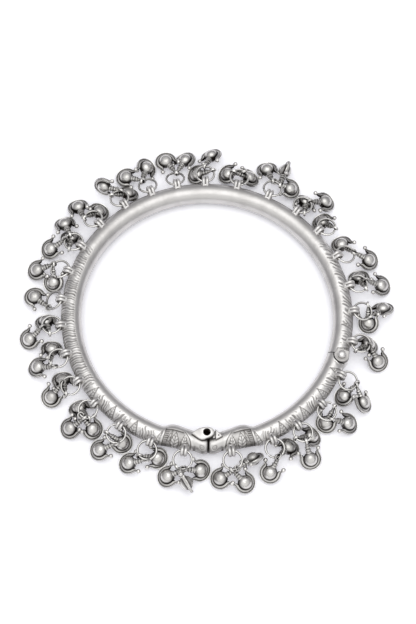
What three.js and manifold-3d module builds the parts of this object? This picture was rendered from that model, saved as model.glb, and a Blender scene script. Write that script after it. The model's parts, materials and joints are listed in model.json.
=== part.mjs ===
// A payal: a rigid silver anklet with a hinged gate and clusters of small bells, lying on its side.
// Millimetres, +Z up. The ring's middle is worked out first at X = Y = 0 and the whole anklet is then
// moved so that its bounding box is centred on the origin, with the floor at Z = 0.
// Angles are plan angles about the ring's middle, counter-clockwise from +X.

import * as THREE from 'three';
import { mergeVertices } from 'three/addons/utils/BufferGeometryUtils.js';
import Module from 'manifold-3d';

const wasm = await Module();
wasm.setup();

// Ring
const RING_RADIUS = 40.75;
const TUBE_RADIUS = 3.05;
const TUBE_SIDES = 12;
const TUBE_STEP_DEG = 6.2;

// Hinge: an upright rivet near the tube's outer side, and three knuckles, one above the other
const HINGE_DEG = -14.2;
const HINGE_RADIUS = 42.0;
const HINGE_GAP = 0.3;
const KNUCKLE_RADIUS = 2.3;
const PLATE_HALF = 1.75;
const PLATE_TOP = 6.4;
const LEAF_LOW = 2.1;
const LEAF_HIGH = 4.1;
const RIVET_RADIUS = 0.75;
const RIVET_BORE = 0.88;
const RIVET_HEAD = 1.1;
const RIVET_DOME = 0.7;
const RIVET_SEAT = 0.02;
const RIVET_FOOT = 0.15;
const RIVET_SIDES = 10;

// Clasp: two heads that meet at a seam, one with a flat screw tongue over a lug of the other
const SEAM_DEG = 274.5;
const SEAM_GAP = 0.3;
const SCREW_RADIUS_AT = 38.4;
const SCREW_ALONG = -0.4;
const TONGUE_RADIUS = 1.95;
const TONGUE_TAIL = 4.6;
const TONGUE_LOW = 5.4;
const TONGUE_TOP = 6.7;
const TONGUE_SEAT = 0.4;
const SCREW_HOLE = 1.15;
const LUG_RADIUS = 1.75;
const LUG_HOLE = 0.8;
const LUG_LOW = 1.5;
const LUG_CLEAR = 0.3;
const LUG_TRAVEL = 9;
const LUG_PATH_DROP = 0.05;
const NECK_LOW = 3;
const BOSS_LOW = 3.4;
const BOSS_TOP = 6.4;

// Plan outlines at the clasp: each point's distance from the ring's middle and past the seam.
// The neck carries the tongue, the arm carries the lug, and the boss is a plate beside the tongue.
const NECK_OUTLINE = [[37.9, -5.6], [40.6, -5.6], [40.4, -2.9], [38.3, -2.9]];
const ARM_OUTLINE = [[36.9, 0.2], [40, 0.2], [40.6, 4.6], [38, 4.6]];
const BOSS_OUTLINE = [[37.1, 2.2], [40.3, 2], [39.3, 3.9], [38.5, 4.2]];

// Cuts start below the floor and end above everything
const CUT_LOW = -1;
const CUT_TOP = 8;

// Head profile, a row for each section: distance from the seam, radius of the section's middle,
// half its width and half its height
const HEAD_ROWS = [
  { along: 0.0, middle: 41.7, width: 1.75, height: 2.45 },
  { along: 1.4, middle: 41.3, width: 2.3, height: 2.75 },
  { along: 3.2, middle: 40.5, width: 2.5, height: 2.75 },
  { along: 5.0, middle: 40.1, width: 2.65, height: 2.85 },
  { along: 7.4, middle: 39.5, width: 3.35, height: 3.25 },
  { along: 9.8, middle: 39.3, width: 3.65, height: 3.45 },
  { along: 12.2, middle: 39.7, width: 3.5, height: 3.35 },
  { along: 13.6, middle: 40.2, width: 3.1, height: 3.1 },
  { along: 14.6, middle: 40.6, width: TUBE_RADIUS, height: TUBE_RADIUS },
];

// Staples: small arches on the tube's upper outer side, each with an eye for a jump ring
const STAPLE_RISE_DEG = 30;
const STAPLE_REACH = 3.85;
const STAPLE_RADIUS_AT = RING_RADIUS + STAPLE_REACH * Math.cos(STAPLE_RISE_DEG * Math.PI / 180);
const STAPLE_HEIGHT = TUBE_RADIUS + STAPLE_REACH * Math.sin(STAPLE_RISE_DEG * Math.PI / 180);
const STAPLE_OUTER = 1.65;
const STAPLE_HOLE = 0.95;
const STAPLE_WIDTH = 1.9;
const STAPLE_LEG = 1.6;

// Jump rings
const JUMP_RADIUS = 2.75;
const JUMP_WIRE = 0.33;
const JUMP_SIDES = 10;
const JUMP_WIRE_SIDES = 5;

// Bells
const BALL_RADIUS = 2.0;
const COLLAR_RADIUS = 3.35;
const COLLAR_HALF = 0.38;
const COLLAR_TIP_RADIUS = 3.55;
const COLLAR_MOUTH_RADIUS = 2.05;
const BELL_REACH = 5.5;
const NECK_END_HALF = 0.18;

// Where a bell may grip its jump ring, in degrees from the ring's outermost point, and how many
// millimetres of misfit a degree of turn is worth
const GRIP_TURN_MAX = 140;
const GRIP_TURN_STEP = 5;
const GRIP_TURN_COST = 0.002;

// Clusters, a row for each staple: its plan angle, how far its jump ring leans sideways and droops,
// and its bells. A bell's place is measured from the staple's eye: out from the ring's middle and
// sideways, counter-clockwise. Roll turns it about its neck.
const bell = (out, side, roll = 0) => ({ out, side, roll });
const CLUSTERS = [
  { at: 106.5, lean: 0, droop: 25, bells: [bell(9.6, 1.4), bell(8.8, -4.6, 25)] },
  { at: 95, lean: 0, droop: 5, bells: [bell(3.6, 2.4), bell(9.8, -2, 30)] },
  { at: 82, lean: 0, droop: 5, bells: [bell(4.2, 3.8), bell(4.4, -2.8, 20)] },
  { at: 68.7, lean: 0, droop: 10, bells: [bell(8.8, 4.6), bell(9.8, -0.8, 75), bell(6, -4.6)] },
  { at: 55.5, lean: 0, droop: 5, bells: [bell(4.8, 0.4, -15), bell(9, -4)] },
  { at: 43.5, lean: -10, droop: 5, bells: [bell(3.6, 2.4)] },
  { at: 30.5, lean: -12, droop: 10, bells: [bell(3.6, 3.8), bell(8.6, -4.4)] },
  { at: 17, lean: 0, droop: 5, bells: [bell(3.8, 2.8), bell(9.8, -1)] },
  { at: 6, lean: 0, droop: 10, bells: [bell(9, 1.4, 30), bell(4.4, -3, -20)] },
  { at: 353, lean: 0, droop: 5, bells: [bell(8.6, -4.4), bell(4.8, 1)] },
  { at: 338, lean: -10, droop: 10, bells: [bell(3.4, -4.4, -20), bell(9, -3.2, 38)] },
  { at: 323.7, lean: -12, droop: 5, bells: [bell(4.2, -2.6), bell(9.2, 1.4)] },
  { at: 311, lean: 0, droop: 5, bells: [bell(4.4, 1.8), bell(9.8, -2.6)] },
  { at: 299.8, lean: -12, droop: 10, bells: [bell(3.4, 3.6), bell(8, -4.6)] },
  { at: 283.2, lean: 0, droop: 10, bells: [bell(6.8, -4.2), bell(9, 2.6), bell(2.8, 5.8, 55)] },
  { at: 265.2, lean: 0, droop: 10, bells: [bell(7.6, -3.6), bell(8.8, 2, 80), bell(4.2, 5.4, -25)] },
  { at: 252, lean: 0, droop: 10, bells: [bell(3, 3.4, -30), bell(7.6, -3.6)] },
  { at: 238.7, lean: 10, droop: 10, bells: [bell(8.6, -0.8), bell(3.2, 3, -20)] },
  { at: 225.5, lean: 0, droop: 5, bells: [bell(3.8, -2.6), bell(5, 4.8), bell(9.8, 0.4)] },
  { at: 214.3, lean: 0, droop: 10, bells: [bell(3.4, -3.4), bell(8.8, -0.4)] },
  { at: 202, lean: 12, droop: 10, bells: [bell(3.4, -3.6), bell(8.8, 0.6)] },
  { at: 190, lean: -12, droop: 5, bells: [bell(4.2, -2.6), bell(9.4, 2.4)] },
  { at: 178.8, lean: 0, droop: 35, bells: [bell(8.2, -1)] },
  { at: 166.5, lean: 0, droop: 10, bells: [bell(9.4, 1.6), bell(3.4, 3.8, -20)] },
  { at: 154.5, lean: 0, droop: 5, bells: [bell(8, 4.6), bell(4.6, -1.6), bell(9, -5)] },
  { at: 142.5, lean: 0, droop: 10, bells: [bell(9.4, -0.6), bell(3.6, -3.8)] },
  { at: 129.5, lean: 0, droop: 10, bells: [bell(8.6, 1, 70), bell(3.2, -3.6, 25)] },
  { at: 117.4, lean: 0, droop: 20, bells: [bell(8.4, 4.6), bell(9.2, -2.4, -25)] },
];

const SILVER = { color: 0xc9c6c0, roughness: 0.34, metalness: 1.0 };
const DARK_SILVER = { color: 0x9b9790, roughness: 0.42, metalness: 1.0 };

const radians = THREE.MathUtils.degToRad;
const SEAM_OFFSET_DEG = THREE.MathUtils.radToDeg(1 / RING_RADIUS);

// A plan point at a distance from the ring's middle, moved sideways counter-clockwise
function plan(angleDeg, radius, along = 0, height = 0) {
  const angle = radians(angleDeg);
  return new THREE.Vector3(
    radius * Math.cos(angle) - along * Math.sin(angle),
    radius * Math.sin(angle) + along * Math.cos(angle),
    height,
  );
}

// Solids for joining and cutting
function solid(geometry, matrix) {
  const shape = geometry.clone();
  shape.deleteAttribute('normal');
  shape.deleteAttribute('uv');
  if (matrix) shape.applyMatrix4(matrix);
  const merged = mergeVertices(shape, 1e-4);
  return new wasm.Manifold(new wasm.Mesh({
    numProp: 3,
    vertProperties: Float32Array.from(merged.attributes.position.array),
    triVerts: Uint32Array.from(merged.index.array),
  }));
}

function joined(solids) {
  return solids.reduce((whole, next) => whole.add(next));
}

function meshOf(name, shape, look) {
  const { vertProperties, triVerts } = shape.getMesh();
  const geometry = new THREE.BufferGeometry();
  geometry.setAttribute('position', new THREE.BufferAttribute(Float32Array.from(vertProperties), 3));
  geometry.setIndex(new THREE.BufferAttribute(Uint32Array.from(triVerts), 1));
  geometry.computeVertexNormals();
  const mesh = new THREE.Mesh(geometry, new THREE.MeshStandardMaterial(look));
  mesh.name = name;
  return mesh;
}

// An upright prism of a plan outline, which is drawn as X outwards and Y counter-clockwise
function prism(outline, low, high, angleDeg) {
  const geometry = new THREE.ExtrudeGeometry(outline, {
    depth: high - low, bevelEnabled: false, curveSegments: 6,
  });
  const place = new THREE.Matrix4().makeRotationZ(radians(angleDeg));
  return solid(geometry, place.multiply(new THREE.Matrix4().makeTranslation(0, 0, low)));
}

function disc(x, y, radius) {
  return new THREE.Shape().absarc(x, y, radius, 0, 2 * Math.PI, false);
}

function polygon(points) {
  return new THREE.Shape(points.map(([x, y]) => new THREE.Vector2(x, y)));
}

// The tube: a cylinder whose rows of vertices are moved to the sections of the ring
function tube(sections) {
  const last = sections.length - 1;
  const geometry = new THREE.CylinderGeometry(1, 1, 1, TUBE_SIDES, last, false, Math.PI / TUBE_SIDES);
  const flat = Math.cos(Math.PI / TUBE_SIDES);
  const points = geometry.attributes.position;
  for (let i = 0; i < points.count; i += 1) {
    const section = sections[Math.round((points.getY(i) + 0.5) * last)];
    const radius = section.middle + section.width * points.getX(i) / flat;
    const height = section.height * (1 + points.getZ(i) / flat);
    const point = plan(section.at, radius, 0, height);
    points.setXYZ(i, point.x, point.y, point.z);
  }
  return solid(geometry);
}

// Plain sections stand on both sides of each staple, so that its legs meet flat faces
function plainSections(from, to) {
  const turns = CLUSTERS.map((row) => (row.at > to ? row.at - 360 : row.at));
  const beside = turns.flatMap((at) => [at - TUBE_STEP_DEG / 2, at + TUBE_STEP_DEG / 2]);
  const between = beside.filter((at) => at > from + 1 && at < to - 1).sort((a, b) => a - b);
  return [from, ...between, to].map((at) => (
    { at, middle: RING_RADIUS, width: TUBE_RADIUS, height: TUBE_RADIUS }
  ));
}

// The head's sections, on the fixed side (-1) or the gate's side (+1) of the seam
function headSections(side) {
  return HEAD_ROWS.map((row) => ({
    ...row, at: SEAM_DEG + side * (row.along + SEAM_GAP / 2) * SEAM_OFFSET_DEG,
  }));
}

// Staple: an upright arch whose eye runs along the tube, drawn with its legs along -X
function staple(angleDeg) {
  const bend = [-90, -45, 0, 45, 90].map(radians);
  const around = (radius) => bend.map((turn) => [radius * Math.cos(turn), radius * Math.sin(turn)]);
  const outline = polygon([
    [-STAPLE_LEG, -STAPLE_OUTER], ...around(STAPLE_OUTER), [-STAPLE_LEG, STAPLE_OUTER],
    [-STAPLE_LEG, STAPLE_HOLE], ...around(STAPLE_HOLE).reverse(), [-STAPLE_LEG, -STAPLE_HOLE],
  ]);
  const geometry = new THREE.ExtrudeGeometry(outline, { depth: STAPLE_WIDTH, bevelEnabled: false });
  const place = new THREE.Matrix4().makeRotationZ(radians(angleDeg));
  place.multiply(new THREE.Matrix4().makeTranslation(STAPLE_RADIUS_AT, STAPLE_WIDTH / 2, STAPLE_HEIGHT));
  place.multiply(new THREE.Matrix4().makeRotationX(Math.PI / 2));
  place.multiply(new THREE.Matrix4().makeRotationZ(radians(STAPLE_RISE_DEG)));
  return solid(geometry, place);
}

// Hinge pieces, drawn about the rivet
function hingeDisc(radius, low, high) {
  return prism(disc(HINGE_RADIUS, 0, radius), low, high, HINGE_DEG);
}

function hingePlate(low, high) {
  const [near, far] = [HINGE_RADIUS - PLATE_HALF, HINGE_RADIUS + PLATE_HALF];
  const outline = polygon([[near, -PLATE_HALF], [far, -PLATE_HALF], [far, PLATE_HALF], [near, PLATE_HALF]]);
  return prism(outline, low, high, HINGE_DEG);
}

// Clasp pieces: the tongue's outline, grown by a clearance where it cuts
function tongueOutline(grown = 0) {
  const radius = TONGUE_RADIUS + grown;
  const [x, y] = [SCREW_RADIUS_AT, SCREW_ALONG];
  const outline = new THREE.Shape();
  outline.absarc(x, y, radius, radians(-50), radians(230), false);
  outline.lineTo(x + 0.3, y - TONGUE_TAIL - grown);
  outline.closePath();
  return outline;
}

// The way that the lug takes under the tongue as the gate opens
function lugPath() {
  const radius = LUG_RADIUS + LUG_CLEAR;
  const hinge = plan(HINGE_DEG - SEAM_DEG, HINGE_RADIUS);
  const screw = new THREE.Vector3(SCREW_RADIUS_AT, SCREW_ALONG, 0);
  const arm = screw.clone().sub(hinge);
  const path = Math.atan2(arm.x, -arm.y);
  const outline = new THREE.Shape();
  outline.absarc(screw.x, screw.y, radius, path + Math.PI / 2, path + 1.5 * Math.PI, false);
  outline.absarc(
    screw.x + LUG_TRAVEL * Math.cos(path), screw.y + LUG_TRAVEL * Math.sin(path), radius,
    path - Math.PI / 2, path + Math.PI / 2, false,
  );
  outline.closePath();
  return outline;
}

function mainHoop() {
  const start = HINGE_DEG + THREE.MathUtils.radToDeg(HINGE_GAP / 2 / HINGE_RADIUS);
  const head = headSections(-1).reverse();
  const sections = [...plainSections(start, head[0].at - TUBE_STEP_DEG), ...head];
  const staples = CLUSTERS.filter((row) => !onGate(row)).map((row) => staple(row.at));
  const tongue = prism(tongueOutline(), TONGUE_LOW, TONGUE_TOP, SEAM_DEG);
  const neck = prism(polygon(NECK_OUTLINE), NECK_LOW, TONGUE_LOW + TONGUE_SEAT, SEAM_DEG);
  const screwHole = disc(SCREW_RADIUS_AT, SCREW_ALONG, SCREW_HOLE);
  return joined([tube(sections), ...staples, neck])
    .subtract(prism(lugPath(), CUT_LOW, TONGUE_LOW - LUG_PATH_DROP, SEAM_DEG))
    .add(tongue)
    .subtract(prism(screwHole, 0, CUT_TOP, SEAM_DEG))
    .subtract(hingeDisc(KNUCKLE_RADIUS + HINGE_GAP, LEAF_LOW - HINGE_GAP, LEAF_HIGH + HINGE_GAP))
    .add(hingePlate(LEAF_HIGH + HINGE_GAP, PLATE_TOP))
    .add(hingeDisc(KNUCKLE_RADIUS, 0, LEAF_LOW - HINGE_GAP))
    .subtract(hingeDisc(RIVET_BORE, CUT_LOW, CUT_TOP));
}

function gate() {
  const end = HINGE_DEG + 360 - THREE.MathUtils.radToDeg(HINGE_GAP / 2 / HINGE_RADIUS);
  const head = headSections(1);
  const sections = [...head, ...plainSections(head.at(-1).at + TUBE_STEP_DEG, end)];
  const staples = CLUSTERS.filter(onGate).map((row) => staple(row.at));
  const swing = KNUCKLE_RADIUS + 2 * HINGE_GAP;
  const lugTop = TONGUE_LOW - LUG_CLEAR;
  const lug = disc(SCREW_RADIUS_AT, SCREW_ALONG, LUG_RADIUS);
  const lugHole = disc(SCREW_RADIUS_AT, SCREW_ALONG, LUG_HOLE);
  return joined([tube(sections), ...staples])
    .add(prism(polygon(ARM_OUTLINE), LUG_LOW, lugTop, SEAM_DEG))
    .add(prism(lug, LUG_LOW, lugTop, SEAM_DEG))
    .subtract(prism(tongueOutline(LUG_CLEAR), lugTop, CUT_TOP, SEAM_DEG))
    .add(prism(polygon(BOSS_OUTLINE), BOSS_LOW, BOSS_TOP, SEAM_DEG))
    .subtract(prism(lugHole, CUT_LOW, TONGUE_LOW, SEAM_DEG))
    .subtract(hingeDisc(swing, LEAF_HIGH, CUT_TOP))
    .subtract(hingeDisc(swing, CUT_LOW, LEAF_LOW))
    .add(hingeDisc(KNUCKLE_RADIUS, LEAF_LOW, LEAF_HIGH))
    .subtract(hingeDisc(RIVET_BORE, CUT_LOW, CUT_TOP));
}

function onGate(row) {
  return row.at > SEAM_DEG && row.at < HINGE_DEG + 360;
}

// Rivet: a straight shank with a domed head on the hinge's top plate
function hingeRivet() {
  const headLow = PLATE_TOP + RIVET_SEAT;
  const profile = [
    [0, RIVET_FOOT], [RIVET_RADIUS, RIVET_FOOT], [RIVET_RADIUS, headLow], [RIVET_HEAD, headLow],
    [RIVET_HEAD, headLow + 0.35 * RIVET_DOME], [0.75 * RIVET_HEAD, headLow + 0.8 * RIVET_DOME],
    [0, headLow + RIVET_DOME],
  ];
  const geometry = new THREE.LatheGeometry(profile.map(([r, z]) => new THREE.Vector2(r, z)), RIVET_SIDES);
  const place = new THREE.Matrix4().setPosition(plan(HINGE_DEG, HINGE_RADIUS));
  return solid(geometry, place.multiply(new THREE.Matrix4().makeRotationX(Math.PI / 2)));
}

// The bell is a ball in a flat collar, which is open at the neck: columns of vertices round the ball,
// each with the collar's reach there. The neck is the collar's stretch at its own two columns.
const BELL_ROWS = [
  { radius: 0, height: -BALL_RADIUS },
  { radius: 0.8 * BALL_RADIUS, height: -0.6 * BALL_RADIUS },
  { collar: true, height: -COLLAR_HALF },
  { collar: true, height: COLLAR_HALF },
  { radius: 0.8 * BALL_RADIUS, height: 0.6 * BALL_RADIUS },
  { radius: 0, height: BALL_RADIUS },
];
const HALF_COLUMNS = [
  { turn: 12, reach: BELL_REACH, neck: true },
  { turn: 33, reach: COLLAR_MOUTH_RADIUS },
  { turn: 54, reach: COLLAR_TIP_RADIUS },
  { turn: 96, reach: COLLAR_RADIUS },
  { turn: 138, reach: COLLAR_RADIUS },
];
const BELL_COLUMNS = [
  ...HALF_COLUMNS,
  { turn: 180, reach: COLLAR_RADIUS },
  ...HALF_COLUMNS.map((column) => ({ ...column, turn: 360 - column.turn })).reverse(),
];

// A lathe whose vertices are moved to these rows and columns, with +Y up and the neck along +Z
function bellBody() {
  const profile = BELL_ROWS.map(({ height }) => new THREE.Vector2(1, height));
  const geometry = new THREE.LatheGeometry(profile, BELL_COLUMNS.length);
  const points = geometry.attributes.position;
  for (let i = 0; i < points.count; i += 1) {
    const row = BELL_ROWS[i % BELL_ROWS.length];
    const column = BELL_COLUMNS[Math.floor(i / BELL_ROWS.length) % BELL_COLUMNS.length];
    const radius = row.collar ? column.reach : row.radius;
    const turn = radians(column.turn);
    if (row.collar && column.neck) {
      const side = Math.sign(Math.sin(turn));
      points.setXYZ(i, side * NECK_END_HALF, Math.sign(row.height) * NECK_END_HALF, BELL_REACH);
    } else {
      points.setXYZ(i, radius * Math.sin(turn), row.height, radius * Math.cos(turn));
    }
  }
  return geometry;
}

// A bell hangs by its neck's end from the point of the jump ring that its length reaches, and its
// ball or its tilted collar lies on the floor
function bellOnRing(row, middle, outwards, sideways, { out, side, roll }) {
  const wanted = plan(row.at, STAPLE_RADIUS_AT + out, side, BALL_RADIUS);
  const onRing = (turn) => middle.clone()
    .addScaledVector(outwards, JUMP_RADIUS * Math.cos(radians(turn)))
    .addScaledVector(sideways, JUMP_RADIUS * Math.sin(radians(turn)));
  const steps = GRIP_TURN_MAX / GRIP_TURN_STEP;
  const turns = Array.from({ length: 2 * steps + 1 }, (_, i) => GRIP_TURN_STEP * (i - steps));
  const misfit = (turn) => (
    Math.abs(onRing(turn).distanceTo(wanted) - BELL_REACH) + GRIP_TURN_COST * Math.abs(turn)
  );
  const grip = onRing(turns.reduce((best, next) => (misfit(next) < misfit(best) ? next : best)));
  const place = new THREE.Matrix4();
  for (let pass = 0; pass < 3; pass += 1) {
    const neckAxis = grip.clone().sub(wanted).normalize();
    const up = new THREE.Vector3(0, 0, 1).projectOnPlane(neckAxis).normalize();
    up.applyAxisAngle(neckAxis, radians(roll));
    place.makeBasis(up.clone().cross(neckAxis), up, neckAxis);
    place.setPosition(grip.clone().addScaledVector(neckAxis, -BELL_REACH));
    const tilt = Math.acos(Math.min(1, Math.abs(up.z)));
    const collarReach = COLLAR_TIP_RADIUS * Math.sin(tilt) + COLLAR_HALF * Math.cos(tilt);
    wanted.z += Math.max(BALL_RADIUS, collarReach) - place.elements[14];
  }
  return solid(bellBody(), place);
}

// A cluster: a jump ring through the staple's eye, with its bells fused on by their necks' ends
function cluster(row) {
  const facing = row.at + row.lean;
  const droop = radians(row.droop);
  const flatOut = plan(facing, 1);
  const outwards = flatOut.clone().multiplyScalar(Math.cos(droop));
  outwards.z = -Math.sin(droop);
  const sideways = plan(facing + 90, 1);
  const upwards = outwards.clone().cross(sideways);
  const eye = plan(row.at, STAPLE_RADIUS_AT, 0, STAPLE_HEIGHT);
  const halfSide = Math.PI / JUMP_SIDES;
  const middle = eye.addScaledVector(outwards, JUMP_RADIUS * Math.cos(halfSide));
  const place = new THREE.Matrix4().makeBasis(outwards, sideways, upwards).setPosition(middle);
  place.multiply(new THREE.Matrix4().makeRotationZ(halfSide));
  const ring = new THREE.TorusGeometry(JUMP_RADIUS, JUMP_WIRE, JUMP_WIRE_SIDES, JUMP_SIDES);
  const bells = row.bells.map((one) => bellOnRing(row, middle, outwards, sideways, one));
  return joined([solid(ring, place), ...bells]);
}

const anklet = new THREE.Group();
anklet.add(meshOf('main_hoop', mainHoop(), SILVER));
anklet.add(meshOf('gate', gate(), SILVER));
anklet.add(meshOf('hinge_rivet', hingeRivet(), SILVER));
CLUSTERS.forEach((row, i) => {
  const name = `bells_${String(i + 1).padStart(2, '0')}`;
  anklet.add(meshOf(name, cluster(row), DARK_SILVER));
});

const bounds = new THREE.Box3().setFromObject(anklet);
const centre = bounds.getCenter(new THREE.Vector3());
anklet.position.set(-centre.x, -centre.y, 0);

export default anklet;
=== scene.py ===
# %% [markdown]
# A payal is an anklet of old silver that rings as its wearer walks. This one is a rigid hollow ring
# with a short gate, which turns on a riveted hinge and closes against a screw clasp, and all round it
# small bells hang on jump rings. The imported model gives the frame: where the ring lies, where the gate
# turns and which solid each piece stands for. Everything below is modelled in that frame, in metres.

# %% The frame
import json
import math
from math import cos, radians, sin

import bmesh
import bpy
from mathutils import Matrix, Vector


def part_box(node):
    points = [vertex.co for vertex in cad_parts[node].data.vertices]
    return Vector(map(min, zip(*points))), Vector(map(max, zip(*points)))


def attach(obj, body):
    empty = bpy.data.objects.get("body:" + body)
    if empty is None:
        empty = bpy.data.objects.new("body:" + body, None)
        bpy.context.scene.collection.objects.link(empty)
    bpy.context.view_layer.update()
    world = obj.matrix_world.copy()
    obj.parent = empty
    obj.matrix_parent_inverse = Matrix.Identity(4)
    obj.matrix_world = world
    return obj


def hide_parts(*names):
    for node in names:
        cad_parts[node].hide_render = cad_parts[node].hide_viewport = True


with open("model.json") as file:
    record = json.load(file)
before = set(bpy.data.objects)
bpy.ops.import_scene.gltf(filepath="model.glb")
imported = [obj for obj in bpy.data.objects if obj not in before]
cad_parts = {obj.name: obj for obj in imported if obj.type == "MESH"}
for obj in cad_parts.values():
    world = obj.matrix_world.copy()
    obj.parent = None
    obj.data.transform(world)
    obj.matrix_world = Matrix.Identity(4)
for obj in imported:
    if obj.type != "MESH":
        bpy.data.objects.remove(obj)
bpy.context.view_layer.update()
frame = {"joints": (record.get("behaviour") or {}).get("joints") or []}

# %% [markdown]
# A maker lays a ring out with a compass, so a place on it is given in the same way: a plan angle, a
# distance from the middle, a step along the ring and a height over the table. The compass point is
# found from the hinge, the one place that the frame states exactly.

# %% The layout of the ring
MM = 0.001
RING_RADIUS = 40.75
TUBE_RADIUS = 3.05
HINGE_DEG = -14.2
HINGE_RADIUS = 42.0
SEAM_DEG = 274.5

hinge = next(joint for joint in frame["joints"] if joint["name"] == "gate_hinge")
HINGE_PLACE = Vector((hinge["pos_m"][0], hinge["pos_m"][1], 0))


def direction(angle, height=0.0):
    return Vector((cos(radians(angle)), sin(radians(angle)), height))


RING_MIDDLE = HINGE_PLACE - direction(HINGE_DEG) * HINGE_RADIUS * MM


def plan(angle, radius, along=0.0, height=0.0):
    """A place in the frame, from millimetres measured out from the ring's middle."""
    flat = direction(angle) * radius + direction(angle + 90) * along
    return RING_MIDDLE + Vector((flat.x, flat.y, height)) * MM


def plan_turn(angle):
    """Carries a piece modelled at the ring's middle, facing +X, round to its plan angle."""
    return Matrix.Translation(RING_MIDDLE) @ Matrix.Rotation(radians(angle), 4, "Z")


print("ring middle, mm:", [round(v / MM, 2) for v in RING_MIDDLE])

# %% [markdown]
# The camera stands where the photographer stood: a long lens, 23 degrees off the vertical and leaning
# a little to one side. It could be placed by eye, but the picture's scale is known, 0.3 mm for a
# pixel at the ring, and so its distance fixes its lens. It is slid a few pixels sideways rather than
# turned, which keeps the ring's oval as it is.

# %% The camera
PHOTO_WIDTH, PHOTO_HEIGHT = 416, 624
MM_PER_PIXEL = 0.300
CAMERA_DISTANCE = 620.0
CAMERA_TILT = radians(23.0)
CAMERA_ROLL = radians(4.5)
RING_PIXEL_X, RING_PIXEL_Y = 207.3, 315.8

to_camera = Vector((0, -sin(CAMERA_TILT), cos(CAMERA_TILT)))
level = Vector((1, 0, 0))
steep = to_camera.cross(level)
picture_right = level * cos(CAMERA_ROLL) + steep * sin(CAMERA_ROLL)
picture_up = steep * cos(CAMERA_ROLL) - level * sin(CAMERA_ROLL)
slide = (picture_right * (PHOTO_WIDTH / 2 - RING_PIXEL_X)
         - picture_up * (PHOTO_HEIGHT / 2 - RING_PIXEL_Y)) * MM_PER_PIXEL

camera_data = bpy.data.cameras.new("camera")
camera_data.sensor_width = 36.0
camera_data.lens = camera_data.sensor_width * CAMERA_DISTANCE / MM_PER_PIXEL / PHOTO_HEIGHT
camera = bpy.data.objects.new("camera", camera_data)
bpy.context.scene.collection.objects.link(camera)
facing = Matrix((picture_right, picture_up, to_camera)).transposed().to_4x4()
stand = plan(0, 0, 0, TUBE_RADIUS) + (to_camera * CAMERA_DISTANCE + slide) * MM
camera.matrix_world = Matrix.Translation(stand) @ facing
bpy.context.scene.camera = camera
print("lens, mm:", round(camera_data.lens, 1))

# %% [markdown]
# Silver shows what is round it. The photograph was lit from above through something white, with darker
# surroundings at table height: the tops of the bells are bright, and a thin dark line runs along the
# inner side of the ring, where it mirrors the horizon. The line is paler at the far side, which faces
# the photographer, so the tent is more open there. One bright lamp could light the scene, but its
# mirror image would be a hard spot on every ball. So the sky itself is a soft tent, bright overhead
# and darker towards the horizon, with one wide and weak softbox in it.

# %% Colours and nodes
def colour(code):
    """An sRGB hex colour as the linear colour that Blender works with."""
    channels = [int(code[i:i + 2], 16) / 255 for i in (1, 3, 5)]
    return [c / 12.92 if c <= 0.04045 else ((c + 0.055) / 1.055) ** 2.4 for c in channels] + [1.0]


def add_node(tree, kind, inputs=None, **settings):
    """Adds a node. An input is a value, or another node's output, which is linked."""
    node = tree.nodes.new(kind)
    for name, value in settings.items():
        setattr(node, name, value)
    for name, value in (inputs or {}).items():
        if isinstance(value, bpy.types.NodeSocket):
            tree.links.new(value, node.inputs[name])
        else:
            node.inputs[name].default_value = value
    return node


# %% The light tent
TENT_STOPS = [(0.0, "#9a999d"), (0.33, "#a2a1a5"), (0.6, "#c0c0c2"), (0.8, "#e5e5e5"), (1.0, "#fafafa")]
TENT_STRENGTH = 1.15
FRONT_FILL = 0.6
SOFTBOX_SIZE = 0.6
SOFTBOX_HEIGHT = 0.7
SOFTBOX_LEAN = 2.0
SOFTBOX_WATTS = 1.0

bpy.context.scene.view_settings.view_transform = "Standard"
world = bpy.data.worlds.new("light_tent")
bpy.context.scene.world = world
world.use_nodes = True
tent = world.node_tree
tent.nodes.clear()
sky = add_node(tent, "ShaderNodeTexCoord")
height = add_node(tent, "ShaderNodeSeparateXYZ", {"Vector": sky.outputs["Generated"]})
front = add_node(tent, "ShaderNodeMath", {0: height.outputs["Y"], 1: -FRONT_FILL},
                 operation="MULTIPLY", use_clamp=True)
filled = add_node(tent, "ShaderNodeMath", {0: height.outputs["Z"], 1: front.outputs[0]}, operation="ADD")
shade = add_node(tent, "ShaderNodeValToRGB", {"Fac": filled.outputs[0]})
while len(shade.color_ramp.elements) < len(TENT_STOPS):
    shade.color_ramp.elements.new(1.0)
for stop, (place, code) in zip(shade.color_ramp.elements, TENT_STOPS):
    stop.position, stop.color = place, colour(code)
glow = add_node(tent, "ShaderNodeBackground",
                {"Color": shade.outputs["Color"], "Strength": TENT_STRENGTH})
add_node(tent, "ShaderNodeOutputWorld", {"Surface": glow.outputs["Background"]})

softbox_data = bpy.data.lights.new("softbox", "AREA")
softbox_data.size = SOFTBOX_SIZE
softbox_data.energy = SOFTBOX_WATTS
softbox = bpy.data.objects.new("softbox", softbox_data)
bpy.context.scene.collection.objects.link(softbox)
lean = Matrix.Rotation(-radians(SOFTBOX_LEAN), 4, "X")
softbox.matrix_world = lean @ Matrix.Translation((0, 0, SOFTBOX_HEIGHT))
print("tent stops:", len(TENT_STOPS))

# %% [markdown]
# The table is a plain white sheet, far larger than the picture, and it only has to be pale and take
# the soft shadows. It glows a little, like paper on a light box, so that the shadows stay pale.

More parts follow.
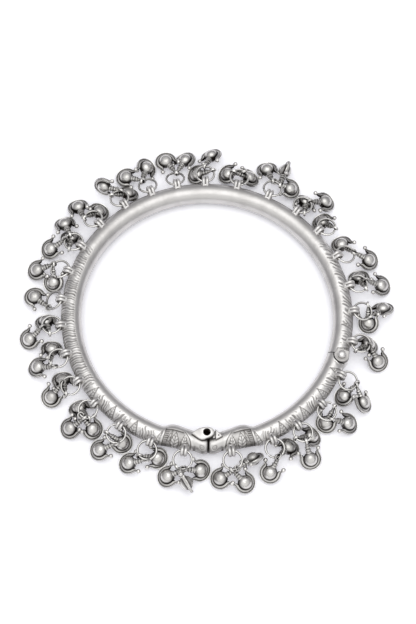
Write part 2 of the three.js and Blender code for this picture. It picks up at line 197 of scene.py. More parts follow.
# %% The table
TABLE_SIZE = 6.0
TABLE_GLOW = 0.24
bpy.ops.object.select_all(action="DESELECT")
bpy.ops.mesh.primitive_plane_add(size=TABLE_SIZE, location=(0, 0, 0))
table = bpy.context.object
table.name = "table"
paper = bpy.data.materials.new("white_paper_table")
paper.use_nodes = True
paper_shader = paper.node_tree.nodes["Principled BSDF"]
paper_shader.inputs["Base Color"].default_value = colour("#fafafc")
paper_shader.inputs["Roughness"].default_value = 0.9
paper_shader.inputs["Specular IOR Level"].default_value = 0.1
paper_shader.inputs["Emission Color"].default_value = colour("#f6f5ff")
paper_shader.inputs["Emission Strength"].default_value = TABLE_GLOW
table.data.materials.append(paper)

# %% [markdown]
# Old silver is never one grey. Where clothes and skin rub it, it stays bright and satiny, and in the
# cuts and corners silver sulphide settles as a warm dark brown. Real tarnish follows the shape, and so
# does shade, so the material asks the shape: an attribute that holds the tarnish in the chasing's cuts
# and painted shade on undersides, walls and inner sides, and ambient occlusion, which paints every
# corner between a ball and its collar darker, partly as tarnish and partly as painted shade. Noise at
# two sizes breaks both up.

# %% The silver
CLOUD_MM = 5.0
CLOUD_FROM, CLOUD_TO = 0.42, 0.68
CORNER_FROM, CORNER_TO = 0.75, 0.25
TARNISH_AND_SHADE_ROUGHNESS = 0.25
GRAIN_ROUGHNESS = 0.12


def silver(name, bright, dark, patina_and_shade, crevice, corner_mm, roughness, grain_mm, grain_lift_mm):
    """Worn silver with sulphide and painted shade: patina is how dark chasing and noise turn it, crevice
    its corners.
    """
    material = bpy.data.materials.new(name)
    material.use_nodes = True
    tree = material.node_tree
    shader = tree.nodes["Principled BSDF"]
    shader.inputs["Metallic"].default_value = 1.0
    place = add_node(tree, "ShaderNodeTexCoord").outputs["Object"]
    clouds = add_node(tree, "ShaderNodeTexNoise",
                      {"Vector": place, "Scale": 1 / (CLOUD_MM * MM), "Detail": 4.0})
    grain = add_node(tree, "ShaderNodeTexNoise",
                     {"Vector": place, "Scale": 1 / (grain_mm * MM), "Detail": 3.0})
    # The attribute holds tarnish in the chasing and painted shade on undersides, walls and inner sides
    marked_tarnish_and_shade = add_node(tree, "ShaderNodeAttribute", attribute_name="patina_and_shade")
    # Ambient occlusion paints the corners darker, partly as tarnish and partly as painted shade
    corners = add_node(tree, "ShaderNodeAmbientOcclusion", {"Distance": corner_mm * MM},
                       samples=8, only_local=True)
    corner_dark = add_node(tree, "ShaderNodeMapRange",
                           {"Value": corners.outputs["AO"], "From Min": CORNER_FROM, "From Max": CORNER_TO,
                            "To Min": 0.0, "To Max": crevice})
    cloud_dark = add_node(tree, "ShaderNodeMapRange",
                          {"Value": clouds.outputs["Fac"], "From Min": CLOUD_FROM, "From Max": CLOUD_TO,
                           "To Min": 0.0, "To Max": patina_and_shade})
    marks_and_clouds_dark = add_node(tree, "ShaderNodeMath", {0: marked_tarnish_and_shade.outputs["Fac"], 1: cloud_dark.outputs["Result"]},
                        operation="ADD")
    tarnish_and_shade_mix = add_node(tree, "ShaderNodeMath", {0: marks_and_clouds_dark.outputs[0], 1: corner_dark.outputs["Result"]},
                    operation="ADD", use_clamp=True)
    base = add_node(tree, "ShaderNodeMix", {"Factor": tarnish_and_shade_mix.outputs[0]}, data_type="RGBA")
    base.inputs["A"].default_value = colour(bright)
    base.inputs["B"].default_value = colour(dark)
    tree.links.new(base.outputs["Result"], shader.inputs["Base Color"])
    rough = add_node(tree, "ShaderNodeMapRange",
                     {"Value": tarnish_and_shade_mix.outputs[0], "To Min": roughness,
                      "To Max": roughness + TARNISH_AND_SHADE_ROUGHNESS})
    worn = add_node(tree, "ShaderNodeMath",
                    {0: grain.outputs["Fac"], 1: GRAIN_ROUGHNESS, 2: rough.outputs["Result"]},
                    operation="MULTIPLY_ADD")
    tree.links.new(worn.outputs[0], shader.inputs["Roughness"])
    bumps = add_node(tree, "ShaderNodeBump",
                     {"Height": grain.outputs["Fac"], "Distance": grain_lift_mm * MM, "Strength": 1.0})
    tree.links.new(bumps.outputs["Normal"], shader.inputs["Normal"])
    return material


# Bright worn silver with brown in its chasing, for the ring, its staples and its clasp
hoop_silver = silver("satin_worn_silver", "#dcdad8", "#3d3630", patina_and_shade=0.12, crevice=0.8, corner_mm=1.0,
                     roughness=0.25, grain_mm=0.8, grain_lift_mm=0.05)
# The same silver, smoother from the stamp and painted blacker in its corners, as tarnish and as painted
# shade, for the bells
bell_silver = silver("tarnished_and_shaded_bell_silver", "#dddbd8", "#26211e", patina_and_shade=0.2, crevice=0.9, corner_mm=1.0,
                     roughness=0.16, grain_mm=0.6, grain_lift_mm=0.05)
print("finishes:", hoop_silver.name, bell_silver.name)

# %% [markdown]
# Modelling by hand means choosing some faces, edges or points and then using one operator on them.
# A script has no mouse, so these helpers choose by place instead, in millimetres, and the operators
# are the same as at the desk.

# %% Choosing and finishing
def take(piece):
    """Makes this the one piece that is selected and active."""
    bpy.ops.object.select_all(action="DESELECT")
    piece.select_set(True)
    bpy.context.view_layer.objects.active = piece


def open_mesh(piece):
    take(piece)
    bpy.ops.object.mode_set(mode="EDIT")


def close_mesh():
    bpy.ops.object.mode_set(mode="OBJECT")


def face_outwards():
    """Turns the open mesh's normals outwards and closes it."""
    bpy.ops.mesh.select_all(action="SELECT")
    bpy.ops.mesh.normals_make_consistent(inside=False)
    close_mesh()


def close_holes():
    """Fills the open mesh's holes, turns its normals outwards and closes it."""
    bpy.ops.mesh.select_all(action="SELECT")
    bpy.ops.mesh.fill_holes(sides=0)
    bpy.ops.mesh.normals_make_consistent(inside=False)
    close_mesh()


def pick(piece, kind, wanted):
    """Selects only the points, edges or faces whose middle, in millimetres, is wanted."""
    bpy.ops.mesh.select_mode(type=kind)
    bpy.ops.mesh.select_all(action="DESELECT")
    mesh = bmesh.from_edit_mesh(piece.data)
    parts = {"VERT": mesh.verts, "EDGE": mesh.edges, "FACE": mesh.faces}[kind]
    for part in parts:
        points = [part] if kind == "VERT" else part.verts
        middle = sum((point.co for point in points), Vector()) / len(points)
        if wanted(middle / MM):
            part.select_set(True)
    mesh.select_flush_mode()
    bmesh.update_edit_mesh(piece.data)


def apply_modifier(piece, kind, **settings):
    modifier = piece.modifiers.new(kind.lower(), kind)
    for name, value in settings.items():
        setattr(modifier, name, value)
    bpy.context.view_layer.objects.active = piece
    bpy.ops.object.modifier_apply(modifier=modifier.name)


def soften(piece, angle):
    """Shades it smooth, with an edge wherever two faces meet at more than this angle."""
    take(piece)
    bpy.ops.object.shade_smooth_by_angle(angle=radians(angle))


def join(name, parts):
    bpy.ops.object.select_all(action="DESELECT")
    for part in parts:
        part.select_set(True)
    bpy.context.view_layer.objects.active = parts[0]
    if len(parts) > 1:
        bpy.ops.object.join()
    parts[0].name = name
    return parts[0]


def settle(piece):
    """Puts a primitive's place, turn and scale into its mesh."""
    take(piece)
    bpy.ops.object.transform_apply(location=True, rotation=True, scale=True)


def copy_of(piece, place):
    """A copy with its own mesh, carried to its place."""
    copy = piece.copy()
    copy.data = piece.data.copy()
    copy.data.transform(place)
    bpy.context.scene.collection.objects.link(copy)
    return copy


def smooth_step(value):
    value = min(1.0, max(0.0, value))
    return value * value * (3 - 2 * value)


def paint_tarnish_and_shade(piece, darkness):
    """Writes how dark each point is painted, tarnished or shaded, from its place in millimetres."""
    layer = piece.data.attributes.new("patina_and_shade", "FLOAT", "POINT")
    layer.data.foreach_set("value", [min(1.0, max(0.0, darkness(v.co / MM))) for v in piece.data.vertices])


def rise(steps):
    """Extrudes the picked face upwards through steps of height and size."""
    for height, size in steps:
        bpy.ops.mesh.extrude_region_move(TRANSFORM_OT_translate={"value": (0, 0, height * MM)})
        bpy.ops.transform.resize(value=(size, size, 1))


# %% [markdown]
# A bell starts with its ball. The maker stamps two cups from sheet silver and solders them to the
# collar, so the ball is a little flatter than a sphere and its crown is worn and slightly dented. A
# sphere primitive gives the rings of faces, and the crown is then pressed in.

# %% The ball of a bell
BALL_RADIUS = 2.0
BALL_SPREAD = 1.07
CROWN_RADIUS = 0.5
CROWN_DENT = 0.07
BALL_DARK_BELOW = 1.3


def model_ball():
    bpy.ops.mesh.primitive_uv_sphere_add(segments=28, ring_count=18, radius=BALL_RADIUS * MM)
    ball = bpy.context.object
    open_mesh(ball)
    for side in (1, -1):
        pick(ball, "VERT", lambda p: p.xy.length < CROWN_RADIUS and p.z * side > 0)
        bpy.ops.transform.translate(value=(0, 0, -side * CROWN_DENT * MM))
    bpy.ops.mesh.select_all(action="SELECT")
    bpy.ops.transform.resize(value=(BALL_SPREAD, BALL_SPREAD, 1), center_override=(0, 0, 0))
    close_mesh()
    # Painted darker round the middle, away from the crown: painted shade where the collar hides the ball
    # and a painted reflection of the dark horizon on its sides, with some tarnish by the collar
    paint_tarnish_and_shade(ball, lambda p: 0.12 + 0.75 * smooth_step((BALL_DARK_BELOW - abs(p.z)) / 0.7))
    return ball


# %% [markdown]
# The collar is a flat band of silver bent round the ball like a horseshoe, with a milled outer edge
# and a rim wire along it. It could be bent from a straight bar, but a circle of points is easier to
# keep true: it is extruded inwards row by row over the band's upper side, opened at the neck, mirrored
# for the lower side and closed at its two ends, which flare outwards.

# %% The collar of a bell
COLLAR_POINTS = 96
COLLAR_EDGE_RADIUS = 3.34
# The rows over the band, from its edge inwards: distance from the ball's middle, height and darkness,
# which is tarnish in the groove and painted shade with tarnish where the band meets the ball
COLLAR_ROWS = [(3.3, 0.3, 0.2), (3.14, 0.46, 0.0), (3.0, 0.42, 0.0), (2.88, 0.2, 0.8), (2.72, 0.3, 0.15),
               (2.42, 0.34, 0.2), (2.2, 0.34, 0.95), (1.85, 0.3, 1.0), (1.85, 0.0, 1.0)]
MOUTH_HALF_DEG = 49
MILLING_DEPTH = 0.055
MILLED_FROM = 3.25
# The flare of the ends: degrees past the mouth's edge and the step outwards in millimetres
FLARE = [(1, 0.72), (5, 0.5), (9, 0.3), (12, 0.15), (16, 0.05)]


def turn_of(place):
    """Degrees round the ball from the neck, which points along +Y."""
    return math.degrees(math.atan2(place.x, place.y))


def model_collar():
    bpy.ops.mesh.primitive_circle_add(vertices=COLLAR_POINTS, radius=COLLAR_EDGE_RADIUS * MM,
                                      fill_type="NOTHING")
    collar = bpy.context.object
    open_mesh(collar)
    bpy.ops.mesh.select_all(action="SELECT")
    radius, height = COLLAR_EDGE_RADIUS, 0.0
    for next_radius, next_height, _ in COLLAR_ROWS:
        lift = (0, 0, (next_height - height) * MM)
        bpy.ops.mesh.extrude_region_move(TRANSFORM_OT_translate={"value": lift})
        shrink = next_radius / radius
        bpy.ops.transform.resize(value=(shrink, shrink, 1), center_override=(0, 0, 0))
        radius, height = next_radius, next_height
    close_mesh()
    # Each point takes the darkness of its nearest row: tarnish, and painted shade where the band meets the
    # ball
    paint_tarnish_and_shade(collar, lambda p: min(COLLAR_ROWS, key=lambda row: abs(row[0] - p.xy.length))[2])
    step = 360 / COLLAR_POINTS
    open_mesh(collar)
    pick(collar, "VERT", lambda p: p.xy.length > MILLED_FROM and round(turn_of(p) / step) % 2)
    bpy.ops.transform.resize(value=(1 - MILLING_DEPTH, 1 - MILLING_DEPTH, 1), center_override=(0, 0, 0))
    pick(collar, "FACE", lambda p: abs(turn_of(p)) < MOUTH_HALF_DEG)
    bpy.ops.mesh.delete(type="FACE")
    for side in (1, -1):
        for past, reach in FLARE:
            at = MOUTH_HALF_DEG + past
            pick(collar, "VERT", lambda p: abs(turn_of(p) * side - at) < step / 2)
            out = Vector((side * sin(radians(at)), cos(radians(at)), 0)) * reach * MM
            bpy.ops.transform.translate(value=out)
    close_mesh()
    apply_modifier(collar, "MIRROR", use_axis=(False, False, True), merge_threshold=1e-6)
    open_mesh(collar)
    close_holes()
    return collar


# %% [markdown]
# The neck is a drawn wire with beads turned round it, and it ends in the eye that grips the jump ring.
# It could be spun from a profile. Extruding a disc is quicker to read: each row of the table is one
# pull along the neck and one change of size, and the beads are two rows that swell.

# %% The neck, the tips and the eye
# The neck's rows: distance from the ball's middle and radius
NECK_ROWS = [(2.2, 1.0), (2.3, 0.78), (2.6, 0.74), (2.68, 0.96), (2.95, 0.96), (3.05, 0.68), (3.35, 0.64),
             (3.43, 0.86), (3.7, 0.86), (3.8, 0.58), (4.3, 0.5), (4.65, 0.42)]
NECK_START, NECK_START_RADIUS = 1.7, 1.0
BEAD_RADIUS_FROM = 0.85
TIP_DEG, TIP_REACH, TIP_RADIUS = 50, 3.98, 0.72
EYE_RADIUS, EYE_WIRE = 0.78, 0.34


def model_neck():
    bpy.ops.mesh.primitive_circle_add(vertices=12, radius=NECK_START_RADIUS * MM, fill_type="NGON",
                                      location=(0, NECK_START * MM, 0), rotation=(radians(-90), 0, 0))
    neck = bpy.context.object
    settle(neck)
    open_mesh(neck)
    bpy.ops.mesh.select_all(action="SELECT")
    reach, radius = NECK_START, NECK_START_RADIUS
    for next_reach, next_radius in NECK_ROWS:
        pull = (0, (next_reach - reach) * MM, 0)
        bpy.ops.mesh.extrude_region_move(TRANSFORM_OT_translate={"value": pull})
        change = next_radius / radius
        bpy.ops.transform.resize(value=(change, 1, change), center_override=(0, next_reach * MM, 0))
        reach, radius = next_reach, next_radius
    face_outwards()
    # The thin wire between the beads is painted darker: painted shade, with some tarnish
    paint_tarnish_and_shade(neck, lambda p: 0.5 * smooth_step((BEAD_RADIUS_FROM - p.xz.length) / 0.15))
    return neck


def model_tip(side):
    """A granule melted on to the end of the collar."""
    at = radians(TIP_DEG)
    place = Vector((side * sin(at), cos(at), 0)) * TIP_REACH * MM
    bpy.ops.mesh.primitive_uv_sphere_add(segments=12, ring_count=8, radius=TIP_RADIUS * MM, location=place)
    tip = bpy.context.object
    tip.scale = (1, 1, 0.9)
    settle(tip)
    return tip


def model_eye():
    bpy.ops.mesh.primitive_torus_add(major_segments=18, minor_segments=8,
                                     major_radius=EYE_RADIUS * MM, minor_radius=EYE_WIRE * MM)
    eye = bpy.context.object
    open_mesh(eye)
    pick(eye, "VERT", lambda p: p.xy.length > EYE_RADIUS)
    bpy.ops.transform.resize(value=(1, 1, 1.25), center_override=(0, 0, 0))
    close_mesh()
    # The inner side of the eye's wire is painted darker, as painted shade
    paint_tarnish_and_shade(eye, lambda p: 0.8 * smooth_step((EYE_RADIUS - p.xy.length) / EYE_WIRE + 0.4))
    return eye


bell_parts = [model_ball(), model_collar(), model_neck(), model_tip(1), model_tip(-1)]
bell_pattern = join("bell_pattern", bell_parts)
soften(bell_pattern, 48)
eye_pattern = model_eye()
eye_pattern.name = "eye_pattern"
soften(eye_pattern, 60)
print("faces in a bell:", len(bell_pattern.data.polygons),
      "and in its eye:", len(eye_pattern.data.polygons))

# %% [markdown]
# A jump ring is wire wound on a rod and sawn off, so it has a seam that never quite closes. A torus
# gives the wire, and taking out one ring of faces and closing both ends gives the seam.

# %% The jump ring
JUMP_RADIUS = 2.75
JUMP_WIRE = 0.35
JUMP_SEGMENTS = 48
bpy.ops.mesh.primitive_torus_add(major_segments=JUMP_SEGMENTS, minor_segments=8,
                                 major_radius=JUMP_RADIUS * MM, minor_radius=JUMP_WIRE * MM)
jump_pattern = bpy.context.object
jump_pattern.name = "jump_pattern"
# The inner side of the wire is painted darker, as painted shade, which gives the ring a dark outline
paint_tarnish_and_shade(jump_pattern, lambda p: 0.6 * smooth_step((JUMP_RADIUS - 0.05 - p.xy.length) / 0.2))
open_mesh(jump_pattern)
seam_width = 360 / JUMP_SEGMENTS
pick(jump_pattern, "FACE", lambda p: 0 < 90 - turn_of(p) < seam_width)
bpy.ops.mesh.delete(type="FACE")
close_holes()
soften(jump_pattern, 60)
print("faces in a jump ring:", len(jump_pattern.data.polygons))

# %% [markdown]
# No two clusters hang alike. The table says for each staple how its jump ring leans and where its
# bells lie, measured out from the staple's eye and along the ring. A bell could be placed by hand, but
# it is held twice: its eye has to grip the ring, and its ball or collar has to lie on the table. So a
# loop finds the grip that the bell's length reaches and lets it down until it rests.

# %% Where the clusters hang
STAPLE_RISE = radians(30)
STAPLE_REACH = 3.85
STAPLE_RADIUS_AT = RING_RADIUS + STAPLE_REACH * cos(STAPLE_RISE)
STAPLE_HEIGHT = TUBE_RADIUS + STAPLE_REACH * sin(STAPLE_RISE)
BELL_REACH = 5.5
COLLAR_TIP_RADIUS = 3.55
COLLAR_HALF = 0.38
GRIP_TURN_MAX, GRIP_TURN_STEP, GRIP_TURN_COST = 140, 5, 0.002
RING_HANGS_AT = cos(math.pi / 10)
JUMP_SEAM_TURNS = 7
# Each staple's plan angle, its ring's lean and droop in degrees, and its bells: out, side and roll.
# The bells at 353 and 338 stand a little apart, so that they pass each other when the gate opens.
CLUSTERS = [
    (106.5, 0, 25, [(9.6, 1.4, 0), (8.8, -4.6, 25)]),
    (95, 0, 5, [(3.6, 2.4, 0), (9.8, -2, 30)]),
    (82, 0, 5, [(4.2, 3.8, 0), (4.4, -2.8, 20)]),
    (68.7, 0, 10, [(8.8, 4.6, 0), (9.8, -0.8, 75), (6, -4.6, 0)]),
    (55.5, 0, 5, [(4.8, 0.4, -15), (9, -4, 0)]),
    (43.5, -10, 5, [(3.6, 2.4, 0)]),
    (30.5, -12, 10, [(3.6, 3.8, 0), (8.6, -4.4, 0)]),
    (17, 0, 5, [(3.8, 2.8, 0), (9.8, -1, 0)]),
    (6, 0, 10, [(9, 1.4, 30), (4.4, -3, -20)]),
    (353, 0, 5, [(8.6, -3.6, 0), (4.8, 1, 0)]),
    (338, -10, 10, [(3.4, -4.6, -20), (9, -3.8, 38)]),
    (323.7, -12, 5, [(4.2, -2.6, 0), (9.2, 1.4, 0)]),
    (311, 0, 5, [(4.4, 1.8, 0), (9.8, -2.6, 0)]),
    (299.8, -12, 10, [(3.4, 3.6, 0), (8, -4.6, 0)]),
    (283.2, 0, 10, [(6.8, -4.2, 0), (9, 2.6, 0), (2.8, 5.8, 55)]),
    (265.2, 0, 10, [(7.6, -3.6, 0), (8.8, 2, 80), (4.2, 5.4, -25)]),
    (252, 0, 10, [(3, 3.4, -30), (7.6, -3.6, 0)]),
    (238.7, 10, 10, [(8.6, -0.8, 0), (3.2, 3, -20)]),
    (225.5, 0, 5, [(3.8, -2.6, 0), (5, 4.8, 0), (9.8, 0.4, 0)]),
    (214.3, 0, 10, [(3.4, -3.4, 0), (8.8, -0.4, 0)]),
    (202, 12, 10, [(3.4, -3.6, 0), (8.8, 0.6, 0)]),
    (190, -12, 5, [(4.2, -2.6, 0), (9.4, 2.4, 0)]),
    (178.8, 0, 35, [(8.2, -1, 0)]),
    (166.5, 0, 10, [(9.4, 1.6, 0), (3.4, 3.8, -20)]),
    (154.5, 0, 5, [(8, 4.6, 0), (4.6, -1.6, 0), (9, -5, 0)]),
    (142.5, 0, 10, [(9.4, -0.6, 0), (3.6, -3.8, 0)]),
    (129.5, 0, 10, [(8.6, 1, 70), (3.2, -3.6, 25)]),
    (117.4, 0, 20, [(8.4, 4.6, 0), (9.2, -2.4, -25)]),
]
print("staples:", len(CLUSTERS), "| bells:", sum(len(row[3]) for row in CLUSTERS))


# %% Hanging a bell
def basis(x_axis, y_axis, z_axis, place):
    """The matrix that carries a pattern's own axes and middle to a place."""
    turned = Matrix((x_axis, y_axis, z_axis)).transposed().to_4x4()
    return Matrix.Translation(place) @ turned


def hang(at, middle, outwards, sideways, out, side, roll):
    """Places for a bell and its eye on a jump ring."""
    wanted = plan(at, STAPLE_RADIUS_AT + out, side, BALL_RADIUS)

    def on_ring(turn):
        return middle + (outwards * cos(radians(turn)) + sideways * sin(radians(turn))) * JUMP_RADIUS * MM

    def misfit(turn):
        return abs((on_ring(turn) - wanted).length / MM - BELL_REACH) + GRIP_TURN_COST * abs(turn)

    turn = min(range(-GRIP_TURN_MAX, GRIP_TURN_MAX + 1, GRIP_TURN_STEP), key=misfit)
    grip = on_ring(turn)
    for _ in range(3):
        neck = (grip - wanted).normalized()
        up = (Vector((0, 0, 1)) - neck * neck.z).normalized()
        up.rotate(Matrix.Rotation(radians(roll), 4, neck))
        middle_of_ball = grip - neck * BELL_REACH * MM
        tilt = math.acos(min(1, abs(up.z)))
        collar_reach = COLLAR_TIP_RADIUS * sin(tilt) + COLLAR_HALF * cos(tilt)
        wanted.z += max(BALL_RADIUS, collar_reach) * MM - middle_of_ball.z
    bell_place = basis(neck.cross(up), neck, up, middle_of_ball)
    along_wire = sideways * cos(radians(turn)) - outwards * sin(radians(turn))
    axis = (along_wire - neck * along_wire.dot(neck)).normalized()
    return bell_place, basis(neck.cross(axis), neck, axis, grip)


def hang_cluster(name, at, lean, droop, bells):
    """One staple's jump ring with its bells, as a single piece."""
    facing = at + lean
    outwards = direction(facing) * cos(radians(droop)) - Vector((0, 0, sin(radians(droop))))
    sideways = direction(facing + 90)
    middle = plan(at, STAPLE_RADIUS_AT, 0, STAPLE_HEIGHT) + outwards * JUMP_RADIUS * RING_HANGS_AT * MM
    ring_place = basis(outwards, sideways, outwards.cross(sideways), middle)
    parts = [copy_of(jump_pattern, ring_place @ Matrix.Rotation(radians(at * JUMP_SEAM_TURNS), 4, "Z"))]
    for out, side, roll in bells:
        bell_place, eye_place = hang(at, middle, outwards, sideways, out, side, roll)
        parts += [copy_of(bell_pattern, bell_place), copy_of(eye_pattern, eye_place)]
    return join(name, parts)


GATE_TURNS = (SEAM_DEG, HINGE_DEG + 360)
widest = 0.0
for number, (at, lean, droop, bells) in enumerate(CLUSTERS, 1):
    cluster = hang_cluster(f"bell_cluster_{number:02d}", at, lean, droop, bells)
    cluster.data.materials.append(bell_silver)
    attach(cluster, "gate" if GATE_TURNS[0] < at < GATE_TURNS[1] else "hoop")
    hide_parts(f"bells_{number:02d}")
    low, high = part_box(f"bells_{number:02d}")
    middle = sum((Vector(corner) for corner in cluster.bound_box), Vector()) / 8
    widest = max(widest, (middle - (low + high) / 2).length / MM)
for pattern in (bell_pattern, eye_pattern, jump_pattern):
    bpy.data.objects.remove(pattern)
print("clusters hung; the furthest is off its solid by", round(widest, 2), "mm")

# %% [markdown]
# The ring itself is a tube of sheet silver. It could be a torus, but only part of it is chased, and
# that part needs far finer faces than the plain back. So one circle is spun round the ring's middle
# three times, with short steps where the chasing goes and long ones where it doesn't.

# %% The tube
TUBE_POINTS = 96
FINE_DEG = 0.225
PLAIN_DEG = 1.4
SEAM_GAP = 0.06
HINGE_SLIT = 0.15
HINGE_GAP_DEG = math.degrees(HINGE_SLIT / HINGE_RADIUS)
SEAM_GAP_DEG = math.degrees(SEAM_GAP / RING_RADIUS)
PLAIN_FROM, PLAIN_TO = 40.0, 152.0


def spin_tube(turns):
    """Spins the tube's section through these plan angles: each turn's end and step."""
    start = turns[0]
    bpy.ops.mesh.primitive_circle_add(
        vertices=TUBE_POINTS, radius=TUBE_RADIUS * MM, fill_type="NOTHING",
        location=plan(start, RING_RADIUS, 0, TUBE_RADIUS), rotation=(radians(90), 0, radians(start)))
    tube = bpy.context.object
    settle(tube)
    open_mesh(tube)
    bpy.ops.mesh.select_all(action="SELECT")
    for end, step in turns[1:]:
        bpy.ops.mesh.spin(steps=round((end - start) / step), angle=-radians(end - start),
                          center=RING_MIDDLE, axis=(0, 0, 1))
        start = end
    close_mesh()
    return tube


hoop_tube = spin_tube([HINGE_DEG + HINGE_GAP_DEG, (PLAIN_FROM, FINE_DEG), (PLAIN_TO, PLAIN_DEG),
                       (SEAM_DEG - SEAM_GAP_DEG, FINE_DEG)])
gate_tube = spin_tube([SEAM_DEG + SEAM_GAP_DEG, (HINGE_DEG + 360 - HINGE_GAP_DEG, FINE_DEG)])
print("faces in the hoop's tube:", len(hoop_tube.data.polygons), "| gate:", len(gate_tube.data.polygons))

# %% [markdown]
# At the clasp both parts swell into a bulb and narrow again to a blunt snout. By hand this is done
# with rings of points, each slid and scaled. There are a hundred rings here, so a loop does it from a
# short profile, and a smooth curve through its rows keeps the bulb from looking turned on a lathe.

# %% The heads at the clasp
# The profile's rows: distance from the seam, the section's middle, and half its width and height
HEAD_ROWS = [
    (0.0, 40.95, 2.0, 2.45), (0.25, 41.0, 2.3, 2.65), (0.8, 41.05, 2.5, 2.75), (1.7, 41.0, 2.6, 2.8),
    (2.8, 40.5, 2.72, 2.82), (4.2, 40.0, 2.9, 2.9), (7.2, 39.82, 3.27, 3.2), (10.2, 39.75, 3.5, 3.4),
    (12.2, 39.95, 3.42, 3.3), (13.6, 40.45, 3.15, 3.1), (14.6, RING_RADIUS, TUBE_RADIUS, TUBE_RADIUS),
    (16.0, RING_RADIUS, TUBE_RADIUS, TUBE_RADIUS),
]


def head_section(along):
    """The section's middle and half sizes, on a smooth curve through the profile's rows."""
    i = max(k for k, row in enumerate(HEAD_ROWS[:-1]) if row[0] <= along)
    last = len(HEAD_ROWS) - 1
    before, here, there, after = (HEAD_ROWS[min(max(k, 0), last)] for k in range(i - 1, i + 3))
    t = (along - here[0]) / (there[0] - here[0])
    values = []
    for k in (1, 2, 3):
        slope_here = (there[k] - before[k]) / max(there[0] - before[0], 0.01) * (there[0] - here[0])
        slope_there = (after[k] - here[k]) / max(after[0] - here[0], 0.01) * (there[0] - here[0])
        values.append((2 * t**3 - 3 * t**2 + 1) * here[k] + (t**3 - 2 * t**2 + t) * slope_here
                      + (3 * t**2 - 2 * t**3) * there[k] + (t**3 - t**2) * slope_there)
    return values


# %% [markdown]
# The chasing is cut with a hammer and small punches. Slanted strokes run up from the hinge, waved
# strokes cover the left side, and towards the clasp strokes and a leaf take turns. The bulbs have larger
# leaves on a sunken ground. A bump texture would be quick, but the cuts of this ring catch light on real
# edges. No operator cuts strokes this fine, so every point of the tube is pushed in along its own
# section by the depth of the cut there, and the same depth darkens it, because tarnish lies in the cuts.

# %% The chased pattern
UNIT = 7.9
HATCH_LENGTH = 4.2
CUT_DEPTH = 0.17
BAND_INNER_DEG, BAND_OUTER_DEG = 101.0, -62.0
HEAD_LENGTH = 14.6
HEAD_HALF = 3.3
LOBE_LENGTH = 4.3
RUNG_PITCH_DEG = 10.8
VEIN_PITCH, VEIN_SLANT = 1.1, 0.055
BAND_LEAF_HALF = 1.5
WAVE_MIDDLE_DEG = 45
# Which punch was used up to this plan angle: its pitch, its slant and whether leaves go between the
# strokes. A slant below zero is for strokes that turn back at the middle of the band, as waves do.
PUNCHES = [(50, 1.25, 0.75, False), (218, 0.8, -0.19, False), (360, 0.78, 0.3, True)]


def groove(distance, width):
    """How deep a rounded cut is, from 0 to 1, this far from its middle."""
    return max(0.0, 1 - (distance / width) ** 2)


def hatching(along, phi, pitch, slant, ragged):
    """Slanted strokes across the tube, each a little wider, deeper or longer than the last."""
    place = (along + slant * radians(phi) * TUBE_RADIUS) / pitch
    place += 0.2 * sin(1.3 * along) + 0.16 * sin(0.11 * phi + 0.7 * along)
    stroke = math.floor(place + 0.5)
    end = BAND_INNER_DEG - 4 - ragged * (0.5 + 0.5 * sin(stroke * 2.4))
    fade = min(1.0, max(0.0, (end - phi) / 14))
    narrow = 0.2 + 0.14 * fade + 0.05 * sin(stroke * 1.7)
    ridge = 0.45 * groove(abs(place - stroke) - 0.5, 0.16)
    force = 0.78 + 0.22 * sin(2.9 * stroke)
    return (force * groove(place - stroke, narrow) - ridge) * min(1.0, 3 * fade)


def leaf(across, phi, base, tip, half_width):
    """A pointed leaf with a cut outline, a middle rib and slanted veins."""
    up = (phi - base) / (tip - base)
    if not -0.1 < up < 1.06:
        return 0.0
    edge = half_width * max(0.0, 1 - max(0.0, up) ** 1.8) * min(1.0, 0.55 + up)
    outline = groove(abs(across) - edge, 0.2)
    if abs(across) > edge:
        return outline
    rib = 0.8 * groove(across, 0.13)
    veins = (abs(across) - (phi - base) * VEIN_SLANT) / VEIN_PITCH
    return 1.4 * max(outline, rib, groove((veins - round(veins)) * VEIN_PITCH, 0.2)) - 0.4


def band_cut(angle, along, phi):
    """The cut on the tube, at a plan angle, a distance along it and an angle up round its section."""
    _, pitch, slant, leaves = next(row for row in PUNCHES if angle < row[0])
    unit = math.floor(along / UNIT)
    place = along - unit * UNIT
    lean = slant if not leaves or unit % 2 else -slant
    fade = min(1.0, max(0.0, (phi - BAND_OUTER_DEG) / 20))
    if not leaves:
        gap = 0.35 + 0.65 * smooth_step(abs(place - UNIT / 2) / 0.6 - 0.5)
        bent = WAVE_MIDDLE_DEG - abs(phi - WAVE_MIDDLE_DEG) if slant < 0 else phi
        return hatching(along, bent, pitch, lean, 16) * fade * gap
    if place < HATCH_LENGTH:
        return hatching(place, phi, pitch, lean, 22) * fade
    across = place - (HATCH_LENGTH + UNIT) / 2
    depth = leaf(across, phi, -30, 94, BAND_LEAF_HALF)
    beside = hatching(place, phi, 0.6, -1.5 * lean, 60) * 0.5
    return max(depth, beside if abs(across) > BAND_LEAF_HALF - 0.05 else 0.0) * fade


